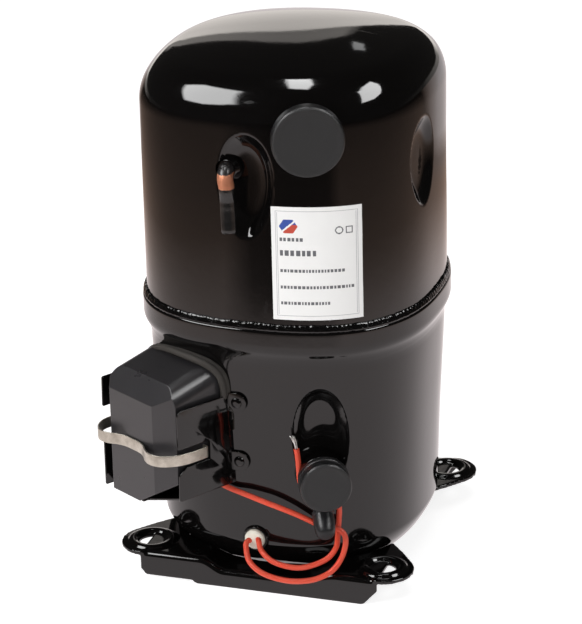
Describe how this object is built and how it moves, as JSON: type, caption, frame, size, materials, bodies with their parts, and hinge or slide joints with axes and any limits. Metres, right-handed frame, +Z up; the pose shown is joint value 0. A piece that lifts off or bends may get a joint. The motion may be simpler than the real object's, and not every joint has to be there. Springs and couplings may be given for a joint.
{
  "type": "hermetic scroll compressor",
  "caption": "Upright hermetic compressor: domed two-piece shell on a mounting base, side terminal box with clip-on cover, plugged ports, scroll set and motor inside.",
  "frame": {"origin": "on the shell's vertical axis, in the plane the base rails and the shell's underside stand on", "axes": "+Z up along the crankshaft axis; +X along the front base rail, to the right seen from the front; -Y is the front, the side with the ports and the label"},
  "size_m": [0.2489, 0.2795, 0.425],
  "materials": {
    "black_paint": "gloss black enamel over pressed steel",
    "tube_copper": "drawn copper, slightly dulled",
    "plug_rubber": "matt dark grey",
    "cover_plastic": "satin grey-black, rubbed lighter along the edges",
    "strap_steel": "tinned spring steel, soft warm sheen",
    "steel": "machined or pressed steel",
    "lamination": "stacked electrical sheet",
    "iron": "as cast, machined seats",
    "alloy": "machined aluminium alloy",
    "bearing_bronze": "bronze, machined",
    "winding": "varnished copper wire",
    "lead_silicone": "silicone-sleeved wire, satin",
    "seal_cream": "cream silicone",
    "label_film": null
  },
  "bodies": {
    "shell": {"upper_shell": "black_paint", "lower_shell": "black_paint", "girth_weld": "black_paint", "suction_stub": "tube_copper", "discharge_stub": "tube_copper", "service_stub": "steel", "process_collar": "steel", "process_tube": "tube_copper", "front_rail": "black_paint", "rear_rail": "black_paint", "terminal_fence": "black_paint", "fence_rivet_upper": "steel", "fence_rivet_lower": "steel", "terminal_seal": "plug_rubber", "terminal_body": "steel", "terminal_pin_1": "tube_copper", "terminal_pin_2": "tube_copper", "terminal_pin_3": "tube_copper", "terminal_block": "cover_plastic", "heater_well": "steel", "heater_element": "steel", "heater_seal": "seal_cream", "lead_terminal": "lead_silicone", "lead_bare_end": "lead_silicone", "nameplate": "label_film", "fixed_scroll": "iron", "scroll_bolt_1": "steel", "scroll_bolt_2": "steel", "scroll_bolt_3": "steel", "scroll_bolt_4": "steel", "thrust_plate": "bearing_bronze", "main_frame": "iron", "main_bearing": "bearing_bronze", "valve_retainer": "steel", "discharge_muffler": "steel", "suction_tube": "tube_copper", "stator_core": "lamination", "stator_windings": "winding", "stator_bolt_1": "steel", "stator_bolt_2": "steel", "stator_bolt_3": "steel", "stator_bolt_4": "steel", "lower_bearing_frame": "iron", "lower_bearing": "bearing_bronze", "motor_leads": "lead_silicone"},
    "crank": {"crankshaft": "steel", "drive_bush": "bearing_bronze", "oil_pickup": "steel", "rotor": "lamination", "upper_counterweight": "bearing_bronze", "lower_counterweight": "bearing_bronze"},
    "orbit": {"orbiting_scroll": "alloy"},
    "oldham": {"oldham_ring": "alloy"},
    "valve": {"discharge_valve": "steel"},
    "cover": {"terminal_cover": "cover_plastic"},
    "bail": {"bail_strap": "strap_steel"},
    "suction_cap": {"suction_plug": "plug_rubber"},
    "discharge_cap": {"discharge_plug": "plug_rubber"},
    "service_cap": {"service_cap": "plug_rubber"}
  },
  "joints": [
    {"name": "crank_spin", "type": "hinge", "parent": "shell", "child": "crank", "pos_m": [0, 0, 0.13], "axis": [0, 0, 1], "continuous": true},
    {"name": "scroll_orbit", "type": "hinge", "parent": "crank", "child": "orbit", "pos_m": [0, 0.005, 0.22], "axis": [0, 0, 1], "continuous": true},
    {"name": "oldham_slide", "type": "slide", "parent": "shell", "child": "oldham", "axis": [1, 0, 0], "range_m": [-0.005, 0.005]},
    {"name": "valve_lift", "type": "slide", "parent": "shell", "child": "valve", "axis": [0, 0, 1], "range_m": [0, 0.0025]},
    {"name": "cover_off", "type": "slide", "parent": "shell", "child": "cover", "axis": [-0.5225, -0.8526, 0], "range_m": [0, 0.06]},
    {"name": "bail_off", "type": "slide", "parent": "cover", "child": "bail", "axis": [-0.5225, -0.8526, 0], "range_m": [0, 0.06]},
    {"name": "suction_plug_pull", "type": "slide", "parent": "shell", "child": "suction_cap", "axis": [0.3827, -0.9239, 0], "range_m": [0, 0.04]},
    {"name": "discharge_plug_pull", "type": "slide", "parent": "shell", "child": "discharge_cap", "axis": [0.4305, -0.9026, 0], "range_m": [0, 0.04]},
    {"name": "service_cap_pull", "type": "slide", "parent": "shell", "child": "service_cap", "axis": [0.343, -0.7224, -0.6004], "range_m": [0, 0.025]}
  ],
  "couplings": [
    {"joint": "scroll_orbit", "follows": "crank_spin", "ratio": -1}
  ]
}
